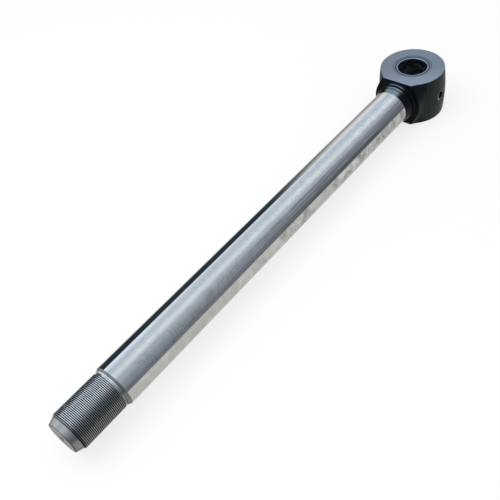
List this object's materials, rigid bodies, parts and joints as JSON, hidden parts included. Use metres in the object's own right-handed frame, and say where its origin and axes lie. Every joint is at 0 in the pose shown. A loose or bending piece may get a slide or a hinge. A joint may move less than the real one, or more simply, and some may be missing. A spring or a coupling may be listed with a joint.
{
  "type": "chrome piston rod",
  "caption": "Chromed hydraulic piston rod with a welded, bushed pin eye at one end and a threaded shank with a tapered nose at the other.",
  "frame": {"origin": "middle of the eye's bore, on the bar's axis", "axes": "+Z along the eye's bore; -X along the bar, towards the thread; -Y out of the grease port"},
  "size_m": [0.782, 0.1025, 0.073],
  "materials": {
    "chrome_bar": "hard chrome, ground and polished, lightly smeared; the thread and nose are bare turned steel",
    "black_paint": "satin black paint, the two faces machined and blue-grey",
    "bush_steel": "machined steel, dark in the bore",
    "weld_paint": "satin black paint over the weld passes"
  },
  "bodies": {
    "root": {"piston_rod": "chrome_bar", "rod_eye": "black_paint", "eye_bush": "bush_steel", "weld_bead": "weld_paint"}
  },
  "joints": []
}
